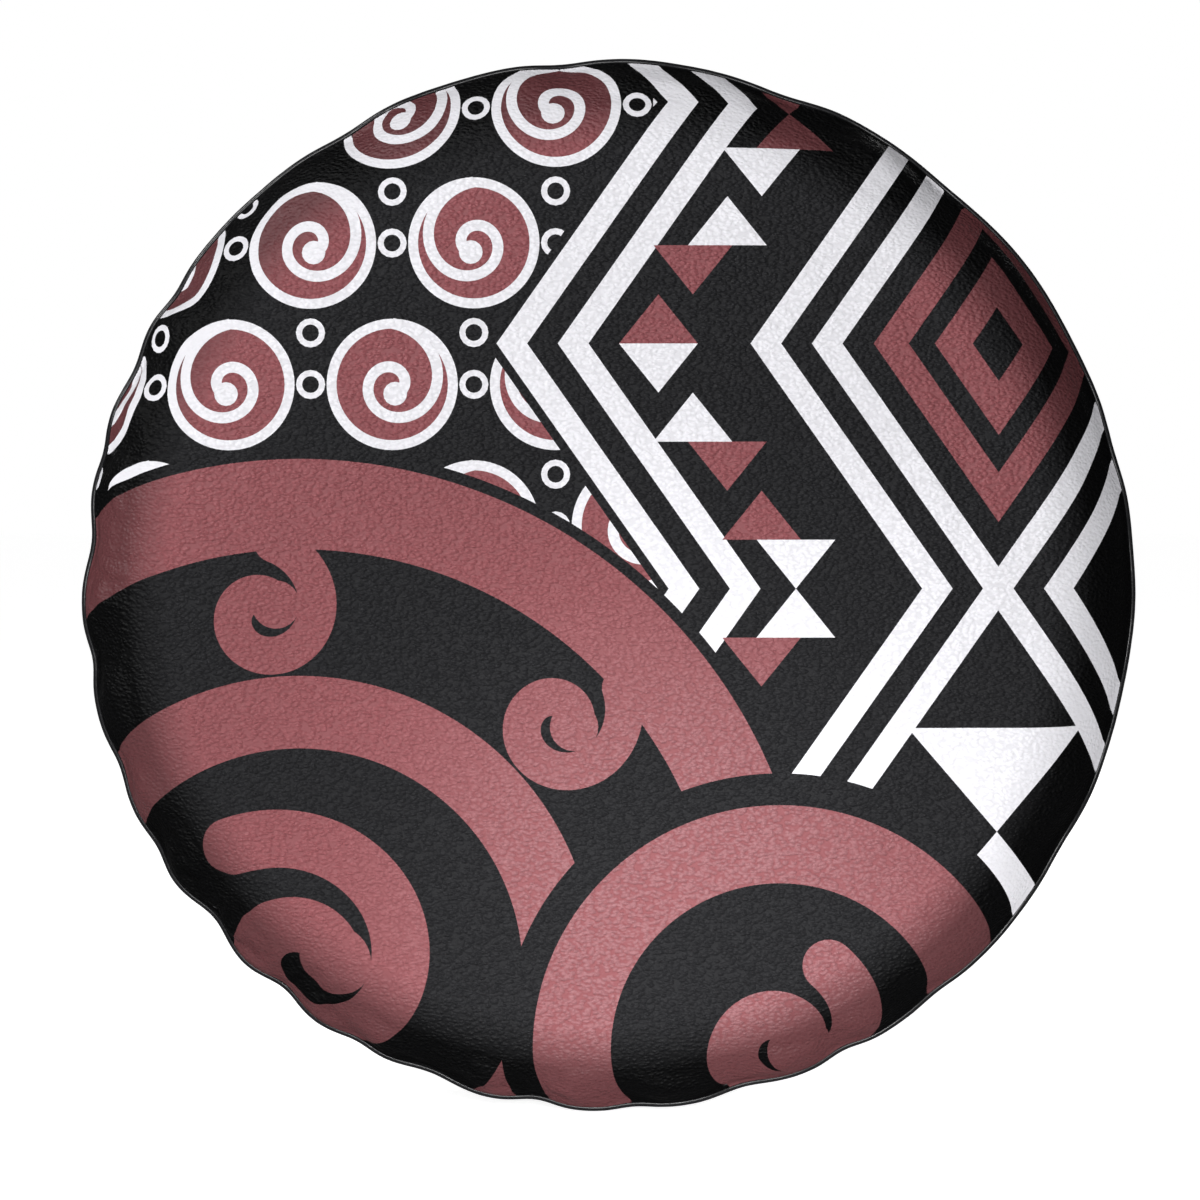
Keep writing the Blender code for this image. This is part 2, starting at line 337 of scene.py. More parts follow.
class Surface:
    """A smooth surface through a grid. A place on it is a length along the cloth and an angle."""

    def __init__(self, lengths, points):
        self.lengths = lengths
        first, last = 2 * points[:1] - points[1:2], 2 * points[-1:] - points[-2:-1]
        self.points = np.concatenate([first, points, last])

    def at(self, along, angle):
        """The points and outward normals at these places."""
        along, angle = np.broadcast_arrays(np.asarray(along, float), np.asarray(angle, float))
        row = np.interp(along, self.lengths, np.arange(len(self.lengths)))
        base = np.clip(np.floor(row).astype(int), 0, len(self.lengths) - 2)
        column = angle / (2 * math.pi) * COLUMNS
        left = np.floor(column).astype(int)
        row_w, row_s = spline_weights(row - base)
        col_w, col_s = spline_weights(column - left)
        point = np.zeros(along.shape + (3,))
        down, across = point.copy(), point.copy()
        for i in range(4):
            for j in range(4):
                knot = self.points[base + i, (left + j - 1) % COLUMNS]
                point += (row_w[i] * col_w[j])[..., None] * knot
                down += (row_s[i] * col_w[j])[..., None] * knot
                across += (row_w[i] * col_s[j])[..., None] * knot
        return point, unit(np.cross(down, across))


def seam_rows(seam, side):
    """The turned-in edge at the front seam, from its fold to the cloth's cut edge.

    With each row comes its length past the fold. side is -1 for the face and 1 for the band."""
    outward, backward = seam
    centre_r = RIM_RADIUS + outward - SEAM_FOLD
    centre_y = SEAM_Y + backward + side * (PLY_OFFSET + SEAM_FOLD)
    rows, runs = [], []
    for turn in np.radians(np.linspace(0, 90, 6)):
        rows.append((centre_r + SEAM_FOLD * math.cos(turn), centre_y - side * SEAM_FOLD * math.sin(turn)))
        runs.append(SEAM_FOLD * turn)
    for reach in (2 * MM, 4 * MM, ALLOWANCE - SEAM_FOLD):
        rows.append((centre_r - reach, centre_y - side * SEAM_FOLD))
        runs.append(runs[5] + reach)
    return np.array([around(r, y, ANGLES) for r, y in rows]), np.array(runs)


def shape_cover():
    """The face's and the band's surfaces, folded, with their turned-in edges at the front seam."""
    face_line, face_lengths = face_section()
    band_line, band_lengths = band_section()
    seam_length = face_lengths[-1]
    first = int(np.searchsorted(face_lengths, TAUT_RADIUS))
    section = np.vstack([face_line[first:], band_line[1:]])
    lengths = np.r_[face_lengths[first:], seam_length + band_lengths[1:]]
    seam_row = len(face_lengths) - 1 - first
    worn = folded_start(section, lengths, seam_length)
    worn = simulate(worn, lengths, seam_row)
    middle = turned_round(face_line[:first], ANGLES)
    seam = seam_shift()
    fold_at = PLY_OFFSET + SEAM_FOLD
    turned, runs = seam_rows(seam, -1)
    face = Surface(
        np.r_[face_lengths[:-1], seam_length - fold_at + runs],
        np.concatenate([middle, worn[:seam_row], turned]),
    )
    turned, runs = seam_rows(seam, 1)
    band = Surface(
        np.r_[(seam_length + fold_at - runs)[::-1], lengths[seam_row + 1 :]],
        np.concatenate([turned[::-1], worn[seam_row + 1 :]]),
    )
    return face, band, seam_length - fold_at, seam_length + fold_at


# Solids cut from the surface.


def grid_normals(points, closed):
    """Outward normals of a grid of points whose rows run round the wheel."""
    if closed:
        across = np.roll(points, -1, axis=1) - np.roll(points, 1, axis=1)
    else:
        across = np.gradient(points, axis=1)
    return unit(np.cross(np.gradient(points, axis=0), across))


def open_edges(faces, count):
    """The edges that have only one face, as pairs of point ids, where count is the number of points."""
    starts, ends = faces.ravel(), np.roll(faces, -1, axis=1).ravel()
    return np.c_[starts, ends][~np.isin(starts * count + ends, ends * count + starts)]


def meshed(name, points, faces, material, crease_deg=50):
    """An object of these faces, without spare or doubled points, its normals outwards."""
    mesh = new_mesh(name, points, faces)
    bm = bmesh.new()
    bm.from_mesh(mesh)
    bmesh.ops.delete(bm, geom=[v for v in bm.verts if not v.link_faces], context="VERTS")
    bmesh.ops.remove_doubles(bm, verts=bm.verts, dist=1e-6)
    bmesh.ops.delete(bm, geom=[e for e in bm.edges if not e.link_faces], context="EDGES")
    bmesh.ops.recalc_face_normals(bm, faces=bm.faces)
    bm.to_mesh(mesh)
    bm.free()
    mesh.shade_smooth()
    mesh.set_sharp_from_angle(angle=math.radians(crease_deg))
    mesh.materials.append(material)
    return new_object(name, mesh)


def sheet_piece(name, points, start, thickness, closed, material, kept=None):
    """A closed sheet whose outer side lies start below a grid of points. kept says which cells it has."""
    rows, columns, _ = points.shape
    normals = grid_normals(points, closed)
    faces = grid_faces(rows, columns, closed)
    if kept is not None:
        faces = faces[kept.ravel()]
    outside = (points - normals * start).reshape(-1, 3)
    inside = (points - normals * (start + thickness)).reshape(-1, 3)
    count = rows * columns
    a, b = open_edges(faces, count).T
    rim = np.stack([b, a, a + count, b + count], axis=-1)
    faces = faces.tolist() + (faces[:, ::-1] + count).tolist() + rim.tolist()
    return meshed(name, np.concatenate([outside, inside]), faces, material)


def steps_between(start, end, step):
    return np.linspace(start, end, max(2, math.ceil(abs(end - start) / step) + 1))


def place_piece(piece, node):
    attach(piece, "root")
    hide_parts(node)
    return piece


# The print, on the flat disc: metres from its centre, x to the right and z up.
HALF_WAVE, SWING, STRIPE, TOP, TURNS = 0.168, 0.059, 0.0086, 0.505, 8
ZIGZAG = (TOP, HALF_WAVE, SWING, TURNS)
ZIGZAG_X = (-0.007, 0.035, 0.167, 0.209)
MIRRORED_X = (0.327, 0.369)


def circle(centre, radius, start=0.0, sweep=360.0):
    """Points along an arc of a circle, in degrees anticlockwise from +x."""
    count = max(round(abs(sweep) / 22.5), math.ceil(abs(math.radians(sweep)) * radius / (4 * MM)))
    angles = [math.radians(start + sweep * i / count) for i in range(count + (abs(sweep) < 360))]
    return [(centre[0] + radius * math.cos(a), centre[1] + radius * math.sin(a)) for a in angles]


def ribbon(line, half_width):
    """The outline of a band along a line of points, with mitred corners."""
    line = np.array(line)
    steps = unit(np.diff(line, axis=0), (1.0, 0.0))
    sides = np.c_[-steps[:, 1], steps[:, 0]]
    before, after = np.vstack([sides[:1], sides]), np.vstack([sides, sides[-1:]])
    mitre = unit(before + after, (1.0, 0.0))
    aside = mitre * (half_width / (mitre * before).sum(axis=1, keepdims=True))
    return (line + aside).tolist() + (line - aside)[::-1].tolist()


def zigzag(x, top, half_wave, swing, turns):
    """A line that goes down in steps of half_wave and swings by swing to the left and the right of x."""
    return [(x + (swing if i % 2 else -swing), top - half_wave * i) for i in range(turns)]


def curl(centre, radius, start, turns, shrink):
    """A line that winds in round centre, from radius to radius * shrink; turns is negative clockwise."""
    count = math.ceil(2 * math.pi * abs(turns) * radius / (4 * MM))
    points = []
    for i in range(count + 1):
        reach = radius * shrink ** (i / count)
        angle = math.radians(start + 360 * turns * i / count)
        points.append((centre[0] + reach * math.cos(angle), centre[1] + reach * math.sin(angle)))
    return points


def ring(ink, inside, centre, radius, width):
    return [(ink, circle(centre, radius)), (inside, circle(centre, radius - width))]


def rosette_field():
    """Staggered rows of red discs with white rims and plain white spirals, with small rings between them."""
    shapes = []
    pitch, row_height, radius, rim = 0.112, 0.097, 0.045, 0.0068
    for row in range(5):
        for column in range(5):
            x = -0.372 + pitch * (column + 0.5 * (row % 2))
            z = 0.335 - row_height * row
            turns = 1.45 if (row + column) % 2 else -1.45
            shapes += ring("white", "red", (x, z), radius, rim)
            spiral = curl((x, z), radius * 0.93, 90, turns, 0.16)
            shapes.append(("white", ribbon(spiral, rim * 0.55)))
            shapes.append(("white", circle(spiral[-1], rim * 1.2)))
            shapes += ring("white", "black", (x + pitch / 2, z), 0.0100, 0.0042)
            shapes += ring("white", "black", (x, z - radius - 0.0165), 0.0100, 0.0042)
    return shapes


def zigzag_field():
    """Paired zigzag stripes with a row of triangles between the pairs, on a black ground."""
    left = zigzag(ZIGZAG_X[0] - 0.018, *ZIGZAG)
    shapes = [("black", left + [(0.6, left[-1][1]), (0.6, left[0][1])])]
    for x in ZIGZAG_X:
        shapes.append(("white", ribbon(zigzag(x, *ZIGZAG), STRIPE)))
    for x in MIRRORED_X:
        shapes.append(("white", ribbon(zigzag(x, TOP, HALF_WAVE, -SWING, TURNS), STRIPE)))
    rise = HALF_WAVE / 5
    for i in range(28):
        z = TOP - rise * (i + 0.5)
        lean = 2 * abs((TOP - z) / HALF_WAVE % 2 - 1) - 1
        x = ZIGZAG_X[1] - SWING * lean + STRIPE + 0.038
        flip = -1 if i % 2 else 1
        base = [(x - 0.027, z + flip * rise / 2), (x + 0.027, z + flip * rise / 2)]
        shapes.append(("white" if i // 2 % 2 else "red", base + [(x, z - flip * rise / 2)]))
    return shapes


def lattice_field():
    """In the cells between the crossing stripes on the right: nested diamonds, or an hourglass."""
    shapes = []
    middle = (ZIGZAG_X[-1] + MIRRORED_X[0]) / 2
    slope = HALF_WAVE / (2 * SWING)
    for cell in range(TURNS // 2 + 1):
        z = TOP - 2 * HALF_WAVE * cell
        if cell % 2:
            for wide, ink in ((0.086, "red"), (0.062, "black"), (0.044, "red"), (0.018, "black")):
                left, right, tall = middle - wide, middle + wide, wide * slope
                shapes.append((ink, [(left, z), (middle, z + tall), (right, z), (middle, z - tall)]))
        else:
            left, right = middle - 0.062, middle + 0.062
            for rise in (0.072, -0.072):
                shapes.append(("white", [(left, z + rise), (right, z + rise), (middle, z)]))
    return shapes


def hook(centre, radius, start, turns, width):
    """A red band that winds in, with round ends."""
    line = curl(centre, radius, start, turns, 0.24)
    ends = [("red", circle(line[0], width / 2)), ("red", circle(line[-1], width * 0.64))]
    return [("red", ribbon(line, width / 2))] + ends


def arches():
    """In the lower left: broad red arches round one centre, with curls on them and one in the middle."""
    centre = (-0.212, -0.262)
    shapes = [("black", circle(centre, 0.360))]
    for radius, width in ((0.321, 0.062), (0.178, 0.050)):
        shapes.append(("red", ribbon(circle(centre, radius, -60, 300), width / 2)))
    for bearing in (148, 96, 44):
        angle = math.radians(bearing)
        foot = (centre[0] + 0.246 * math.cos(angle), centre[1] + 0.246 * math.sin(angle))
        shapes += hook(foot, 0.050, bearing - 15, -1.12, 0.026)
    return shapes + hook(centre, 0.098, 120, -1.3, 0.040)


def wave():
    """At the bottom right: one more arch, with a curl inside."""
    centre = (0.118, -0.318)
    discs = (("black", 0.192), ("red", 0.170), ("black", 0.116))
    shapes = [(ink, circle(centre, radius)) for ink, radius in discs]
    return shapes + hook(centre, 0.068, 60, -1.2, 0.036)


INKS = ("black", "white", "red")

# The printed face's mesh: the spacing of its points, and how many lie on each close ring at the rim.
FACE_STEP = 4.5 * MM
RIM_COLUMNS = 960


def printed_shapes():
    """The print in painter's order: each shape's ink, and its outline in short steps so that it can bend."""
    shapes = []
    for ink, outline in rosette_field() + zigzag_field() + lattice_field() + arches() + wave():
        line = []
        for (ax, az), (bx, bz) in zip(outline, outline[1:] + outline[:1]):
            count = max(1, round(math.dist((ax, az), (bx, bz)) / FACE_STEP))
            line += [(ax + (bx - ax) * i / count, az + (bz - az) * i / count) for i in range(count)]
        shapes.append((ink, line))
    return shapes


def inked(points):
    """The ink at each of these flat points, as an index into INKS. A later shape covers an earlier one."""
    found = np.zeros(len(points), int)
    for ink, outline in printed_shapes():
        line = np.array(outline)
        near = np.flatnonzero(np.all((points >= line.min(axis=0)) & (points <= line.max(axis=0)), axis=1))
        x, z = points[near, 0], points[near, 1]
        inside = np.zeros(len(near), bool)
        for (ax, az), (bx, bz) in zip(line, np.roll(line, -1, axis=0)):
            crosses = (az > z) != (bz > z)
            if crosses.any():
                inside ^= crosses & (x < ax + (z - az) * (bx - ax) / ((bz - az) or 1))
        found[near[inside]] = INKS.index(ink)
    return found


def triangulated(points, edges, border):
    """Triangles over flat points and edges, inside the border, a loop of point ids.

    Gives the points, the triangles as ids of these points, and the border's new ids."""
    result = delaunay_2d_cdt([Vector(p) for p in points], edges, [border], 0, 1e-8)
    new_id = {old: new for new, olds in enumerate(result[3]) for old in olds}
    triangles = [face for face, parents in zip(result[2], result[5]) if parents]
    flat = np.array([(p.x, p.y) for p in result[0]])
    return flat, np.array(triangles), np.array([new_id[i] for i in border])


def flat_rings(radii, step, columns, rim_columns):
    """Points on rings round the flat disc's centre: fewer near it, and more on the close rings at the rim."""
    points = [(0.0, 0.0)]
    for i, radius in enumerate(radii):
        count = columns if radius > CROWN_RADIUS else max(8, round(2 * math.pi * radius / step))
        if i >= len(radii) - 9:
            count = rim_columns
        turn = 2 * math.pi * (np.arange(count) + (0.5 if i % 2 and radius < radii[-1] else 0)) / count
        points += np.c_[radius * np.cos(turn), radius * np.sin(turn)].tolist()
    return points


def face_rows(face, fold_at, step):
    """Lengths along the face's cloth for its rows: even steps, and close ones round the fold at the seam."""
    return np.r_[steps_between(step, fold_at, step)[:-1], fold_at + face.lengths[-9:] - face.lengths[-9]]


def on_face(face, flat):
    """Where flat points of the print lie on the cloth, and the normals there."""
    return face.at(np.linalg.norm(flat, axis=1), np.arctan2(flat[:, 1], flat[:, 0]))


def make_face(face, fold_at, materials):
    """The printed skin. Its triangles follow the print's borders, and each has the material of its ink."""
    rows = face_rows(face, fold_at, FACE_STEP)
    points = flat_rings(rows, FACE_STEP, 600, RIM_COLUMNS)
    border = list(range(len(points) - RIM_COLUMNS, len(points)))
    edges = []
    for _, outline in printed_shapes():
        ids = len(points) + np.arange(len(outline))
        points += outline
        edges += np.c_[ids, np.roll(ids, -1)].tolist()
    flat, triangles, _ = triangulated(points, edges, border)
    inks = inked(flat[triangles].mean(axis=1))
    used, faces = np.unique(triangles, return_inverse=True)
    flat, faces = flat[used], faces.reshape(-1, 3)
    outside, normals = on_face(face, flat)

    after = dict(open_edges(faces, len(flat)).tolist())
    loop = [next(iter(after))]
    while after[loop[-1]] != loop[0]:
        loop.append(after[loop[-1]])
    points = flat[loop].tolist() + flat_rings(rows[:-1:2], 12 * MM, 300, RIM_COLUMNS // 2)
    inner_flat, inner_faces, inner_loop = triangulated(points, [], list(range(len(loop))))
    inner, inner_normals = on_face(face, inner_flat)
    inner = inner - inner_normals * SKIN

    count = len(outside)
    loop, inner_loop = np.array(loop), inner_loop + count
    walls = np.stack([np.roll(loop, -1), loop, inner_loop, np.roll(inner_loop, -1)], axis=-1)
    polygons = faces.tolist() + (inner_faces[:, ::-1] + count).tolist() + walls.tolist()
    mesh = new_mesh("printed_face", np.concatenate([outside, inner]), polygons)
    for ink in INKS:
        mesh.materials.append(materials[f"{ink}_print"])
    slots = np.r_[inks, np.zeros(len(inner_faces) + len(walls), int)]
    mesh.polygons.foreach_set("material_index", slots.astype(np.int32))
    mesh.shade_smooth()
    mesh.normals_split_custom_set_from_vertices(np.concatenate([normals, -inner_normals]).tolist())
    return new_object("printed_face", mesh)


# The band, its hem and its two joints.


def hem_rows(band, angles):
    """The band's points from the hem's edge round the fold and back along the return, at these angles."""
    end = band.lengths[-1]
    edge, _ = band.at(end, angles)
    rows = []
    for turn in np.radians(np.linspace(15, 180, 10)):
        inwards, forward = HEM_FOLD * math.sin(turn), HEM_FOLD * (1 - math.cos(turn))
        rows.append(edge - [0, forward, 0] - around(np.full(len(angles), inwards), 0, angles))
    for back in steps_between(0, HEM_RETURN, 3 * MM)[1:]:
        outer, _ = band.at(end - back, angles)
        rows.append(outer - [0, 2 * HEM_FOLD, 0])
    return np.array(rows)


def band_angles(side, columns):
    """Angles from one joint to the other, on the +X half for side 1, without what the joint's fold takes."""
    start = -math.pi / 2 if side > 0 else math.pi / 2
    margin = (JOINT_FOLD + JOINT_GAP) / RIM_RADIUS
    return np.linspace(start + margin, start + math.pi - margin, columns)


def joint_columns(points, normals, lengths, fold_at, flat_from, side_x):
    """Columns past a half's edge: the cloth rounds inwards at the joint and stands behind it as a fin.

    points and normals are the half's last column, and side_x the direction from it to the joint, along X. By
    the front seam and at the hem's casing the cloth lies flat up to the joint, and it folds in between."""
    folded = np.clip(np.minimum(lengths - fold_at - 1 * MM, flat_from - lengths) / (5 * MM), 0, 1)[:, None]
    folded = folded * folded * (3 - 2 * folded)
    towards = np.zeros_like(points)
    towards[:, 0] = side_x
    gap = np.abs(points[:, :1]) - JOINT_FOLD - JOINT_GAP
    start = points + towards * gap
    centre = start - normals * JOINT_FOLD
    columns = []
    for turn in np.radians(np.linspace(18, 90, 5)):
        rounded = centre + JOINT_FOLD * (normals * math.cos(turn) + towards * math.sin(turn))
        flat = start + towards * JOINT_FOLD * math.sin(turn)
        columns.append(flat + (rounded - flat) * folded)
    for depth in steps_between(0, ALLOWANCE - JOINT_FOLD, 2.4 * MM)[1:]:
        columns.append(columns[4] - normals * depth)
    return start, columns, folded[:, 0]


def band_grid(band, fold_at, side, columns, step):
    """The grid of one half of the band with its hem and its fins, and which of its cells hold cloth."""
    angles = band_angles(side, columns)
    rows = np.r_[band.lengths[:9], steps_between(fold_at, band.lengths[-1], step)[1:]]
    points, normals = band.at(rows[:, None], angles[None, :])
    hem = hem_rows(band, angles)
    whole = np.concatenate([points, hem])
    lengths = np.r_[rows, rows[-1] + np.arange(1, len(hem) + 1) * MM]
    normals = grid_normals(whole, closed=False)
    inwards = -np.sign(side)
    flat_from = rows[-1] - HEM_RETURN + 4 * MM
    left = joint_columns(whole[:, 0], normals[:, 0], lengths, fold_at, flat_from, inwards)
    right = joint_columns(whole[:, -1], normals[:, -1], lengths, fold_at, flat_from, inwards)
    whole[:, 0], whole[:, -1] = left[0], right[0]
    fins = len(left[1])
    grid = np.concatenate([np.stack(left[1][::-1], axis=1), whole, np.stack(right[1], axis=1)], axis=1)
    kept = np.ones((len(lengths) - 1, grid.shape[1] - 1), bool)
    finned = np.minimum(left[2][:-1], left[2][1:]) > 0.999
    kept[~finned, : fins - 5] = False
    kept[~finned, -(fins - 5) :] = False
    return grid, kept


def make_band_half(band, fold_at, side, materials):
    label = "right" if side > 0 else "left"
    grid, kept = band_grid(band, fold_at, side, 460, 3.6 * MM)
    skin = sheet_piece(f"{label}_band", grid, 0, SKIN, False, materials["leatherette"], kept)
    coarse, kept = band_grid(band, fold_at, side, 300, 6 * MM)
    name = f"{label}_band_backing"
    backing = sheet_piece(name, coarse, SKIN + GAP, BACKING, False, materials["backing"], kept)
    place_piece(skin, f"band_{label}")
    place_piece(backing, f"band_{label}_backing")
    return skin, backing


# The piping, the elastic and the threads.


def seam_circle(angles):
    """The front seam's radius and Y at these angles."""
    outward, backward = (np.interp(angles, ANGLES, shift, period=2 * math.pi) for shift in seam_shift())
    return RIM_RADIUS + outward, SEAM_Y + backward


def smoothed(values, reach):
    """Values round the wheel, averaged over reach places on each side."""
    weights = np.hanning(2 * reach + 3)[1:-1]
    wrapped = np.r_[values[-reach:], values, values[:reach]]
    return np.convolve(wrapped, weights / weights.sum(), mode="valid")


def tube_faces(sides, steps):
    """Quads of a closed tube, whose points come as one row of steps points for each side."""
    ids = np.arange(sides * steps).reshape(sides, steps)
    below = np.roll(ids, -1, axis=0)
    return np.stack([ids, below, np.roll(below, -1, axis=1), np.roll(ids, -1, axis=1)], axis=-1)


def make_piping(materials):
    """A folded strip of smooth vinyl round a filler cord, with its two plies side by side in the seam."""
    columns = 720
    angles = np.arange(columns) * 2 * math.pi / columns
    radius, y = seam_circle(angles)
    radius, y = smoothed(radius, 3), smoothed(y, 3)
    lumps = 1 + 0.035 * ripple(angles, 1.0, 40, 11) + 0.02 * ripple(angles, 2.0, 90, 12)
    meet = math.asin(FLANGE_HALF / PIPING_RADIUS)
    outline = [(-ALLOWANCE - 0.4 * MM, -FLANGE_HALF, 0), (-5 * MM, -FLANGE_HALF, 0)]
    for turn in np.linspace(meet - math.pi, math.pi - meet, 21):
        outline.append((PIPING_RADIUS * math.cos(turn), PIPING_RADIUS * math.sin(turn), 1))
    outline += [(-5 * MM, FLANGE_HALF, 0), (-ALLOWANCE + 0.3 * MM, FLANGE_HALF, 0)]
    rows = []
    for out, back, is_round in outline:
        grow = lumps if is_round else 1.0
        rows.append(around(radius + PIPING_PROUD + out * grow, y + back * grow, angles))
    cover = sheet_piece("piping", np.array(rows), 0, PIPING_SKIN, True, materials["piping"])
    place_piece(cover, "piping_cover")

    steps = 1500
    angles = np.arange(steps) * 2 * math.pi / steps
    radius, y = seam_circle(angles)
    radius, y = smoothed(radius, 6) + PIPING_PROUD, smoothed(y, 6)
    points, faces = [], []
    for strand in range(3):
        twist = 240 * angles + strand * 2 * math.pi / 3
        middle_r, middle_y = radius + 0.6 * MM * np.cos(twist), y + 0.6 * MM * np.sin(twist)
        for turn in np.arange(6) * math.pi / 3:
            out, back = 0.55 * MM * math.cos(turn), 0.55 * MM * math.sin(turn)
            points.append(around(middle_r + out, middle_y + back, angles))
        faces.append(tube_faces(6, steps).reshape(-1, 4) + strand * 6 * steps)
    core = meshed("filler_cord", np.concatenate(points), np.concatenate(faces), materials["cord"])
    place_piece(core, "piping_core")
    return cover, core


def make_elastic(band, materials):
    """One flat strip inside the hem. Its ends overlap at the bottom."""
    columns, overlap = 700, math.radians(2.5)
    angles = np.linspace(-math.pi / 2 - overlap, 1.5 * math.pi + overlap, columns)
    apart = 0.55 * MM
    lift = apart * (1 - np.clip((angles - angles[0] - 2 * overlap) / 0.14, 0, 1))
    lift -= apart * (1 - np.clip((angles[-1] - 2 * overlap - angles) / 0.14, 0, 1))
    rows = []
    for back in steps_between(1.6 * MM, 11.6 * MM, 1 * MM)[::-1]:
        middle, _ = band.at(band.lengths[-1] - back, angles)
        middle[:, 1] += -HEM_FOLD + 0.45 * MM + lift
        rows.append(middle)
    strip = sheet_piece("elastic", np.array(rows), 0, 0.9 * MM, False, materials["elastic"])
    return place_piece(strip, "hem_elastic")


def stitched(name, node, path, outwards, closed, materials, length=3.4 * MM, hole=0.7 * MM):
    """One sewing thread along a path: it lies on the cloth for a stitch, then dips through a hole."""
    run = np.r_[0, np.cumsum(np.linalg.norm(np.diff(path, axis=0), axis=1))]
    total = run[-1]
    count = round(total / (length + hole))
    shares = np.r_[0.0, 0.07, 0.17, 0.5, 0.83, 0.93]
    heights = np.r_[-1.2, 0.15, 0.36, 0.44, 0.36, 0.15] * MM
    along = ((np.arange(count)[:, None] + shares[None, :]) / count * total).ravel()
    height = np.tile(heights, count)
    if not closed:
        along, height = np.r_[along, total], np.r_[height, heights[0]]
    up = unit(np.stack([np.interp(along, run, values) for values in outwards.T], axis=-1))
    middle = np.stack([np.interp(along, run, values) for values in path.T], axis=-1)
    middle = middle + up * height[:, None]
    if closed:
        ahead = unit(np.roll(middle, -1, axis=0) - np.roll(middle, 1, axis=0))
    else:
        ahead = unit(np.gradient(middle, axis=0))
    aside = unit(np.cross(ahead, up))
    up = unit(np.cross(aside, ahead))
    turns = np.arange(6) * math.pi / 3
    loops = np.array([middle + 0.8 * THREAD * (aside * math.cos(t) + up * math.sin(t)) for t in turns])
    steps = len(middle)
    quads = tube_faces(6, steps)
    faces = (quads if closed else quads[:, :-1]).reshape(-1, 4).tolist()
    if not closed:
        first = [side * steps for side in range(6)]
        faces += [first, [point + steps - 1 for point in first[::-1]]]
    thread = meshed(name, loops.reshape(-1, 3), faces, materials["thread"], 80)
    return place_piece(thread, node)


def make_threads(face, band, fold_at, materials):
    """Each seam has a needle thread on one side of the cloth and a bobbin thread on the other.

    The front seam's threads lie 3 mm behind the folds, on the knit side of the two allowances."""
    angles = np.linspace(0, 2 * math.pi, 1201)
    below = SKIN + GAP + BACKING
    for surface, along, node in (
        (face, face.lengths[-9] + SEAM_FOLD * math.pi / 2 + 3 * MM, "front_seam_needle_thread"),
        (band, band.lengths[8] - SEAM_FOLD * math.pi / 2 - 3 * MM, "front_seam_bobbin_thread"),
    ):
        point, normal = surface.at(along, angles)
        stitched(node.replace("_thread", "_stitches"), node, point - normal * below, -normal, True, materials)
    back = HEM_RETURN - 3 * MM
    point, normal = band.at(band.lengths[-1] - back, angles)
    stitched("hem_needle_stitches", "hem_needle_thread", point, normal, True, materials)
    inner = point - [0, 2 * HEM_FOLD, 0]
    stitched("hem_bobbin_stitches", "hem_bobbin_thread", inner, -normal, True, materials)
    lengths = steps_between(fold_at + 8 * MM, band.lengths[-1] - 16 * MM, 2 * MM)
    for label, angle in (("top", math.pi / 2), ("bottom", -math.pi / 2)):
        point, normal = band.at(lengths, angle)
        for kind, side in (("needle", 1), ("bobbin", -1)):
            path = point - normal * 6 * MM
            path[:, 0] = side * (JOINT_GAP + below)
            name = f"{label}_joint_{kind}"
            outwards = np.tile([float(side), 0.0, 0.0], (len(path), 1))
            stitched(f"{name}_stitches", f"{name}_thread", path, outwards, False, materials)


# Materials.


class Nodes:
    """A material's nodes, and short ways to add to them."""

    def __init__(self, name):
        self.material = bpy.data.materials.new(name)
        self.material.use_nodes = True
        self.tree = self.material.node_tree
        self.shader = self.tree.nodes["Principled BSDF"]
        coordinates = self.tree.nodes.new("ShaderNodeTexCoord")
        self.place = coordinates.outputs["Object"]

    def set(self, socket, value):
        if isinstance(value, bpy.types.NodeSocket):
            self.tree.links.new(value, socket)
        elif isinstance(value, tuple) and len(value) == 3 and socket.type == "RGBA":
            socket.default_value = (*value, 1)
        else:
            socket.default_value = value

    def add(self, kind, inputs, output=0, **settings):
        node = self.tree.nodes.new(f"ShaderNode{kind}")
        for key, value in settings.items():
            setattr(node, key, value)
        for key, value in inputs.items():
            self.set(node.inputs[key], value)
        return node.outputs[output]

    def finish(self, **inputs):
        for key, value in inputs.items():
            self.set(self.shader.inputs[key.replace("_", " ")], value)
        return self.material

    def noise(self, scale, detail=3.0, roughness=0.5):
        inputs = {"Vector": self.place, "Scale": scale, "Detail": detail, "Roughness": roughness}
        return self.add("TexNoise", inputs)

    def ramp(self, value, start, end, low=0.0, high=1.0):
        inputs = {"Value": value, "From Min": start, "From Max": end, "To Min": low, "To Max": high}
        return self.add("MapRange", inputs)

    def maths(self, operation, a, b):
        return self.add("Math", {0: a, 1: b}, operation=operation)

    def radius(self):
        """The distance from the wheel's axis."""
        across = self.add("VectorMath", {0: self.place, 1: (1.0, 0.0, 1.0)}, operation="MULTIPLY")
        return self.add("VectorMath", {0: across}, output=1, operation="LENGTH")

    def blend(self, share, a, b):
        """The colour a where share is 0, and b where it is 1."""
        return self.add("Mix", {"Factor": share, 6: a, 7: b}, output=2, data_type="RGBA")

    def bump(self, height, depth, strength=1.0):
        return self.add("Bump", {"Height": height, "Distance": depth, "Strength": strength})


# The red ink is painted paler round this place, low on the face, as a painted highlight, and has its full
# colour from the far distance on.
RED, PAINTED_SHEEN_RED = (0.239, 0.0665, 0.0745), (0.258, 0.106, 0.1155)
PAINTED_SHEEN_PLACE, PAINTED_SHEEN_NEAR, PAINTED_SHEEN_FAR = (0.05, 0.0, -0.22), 0.06, 0.27


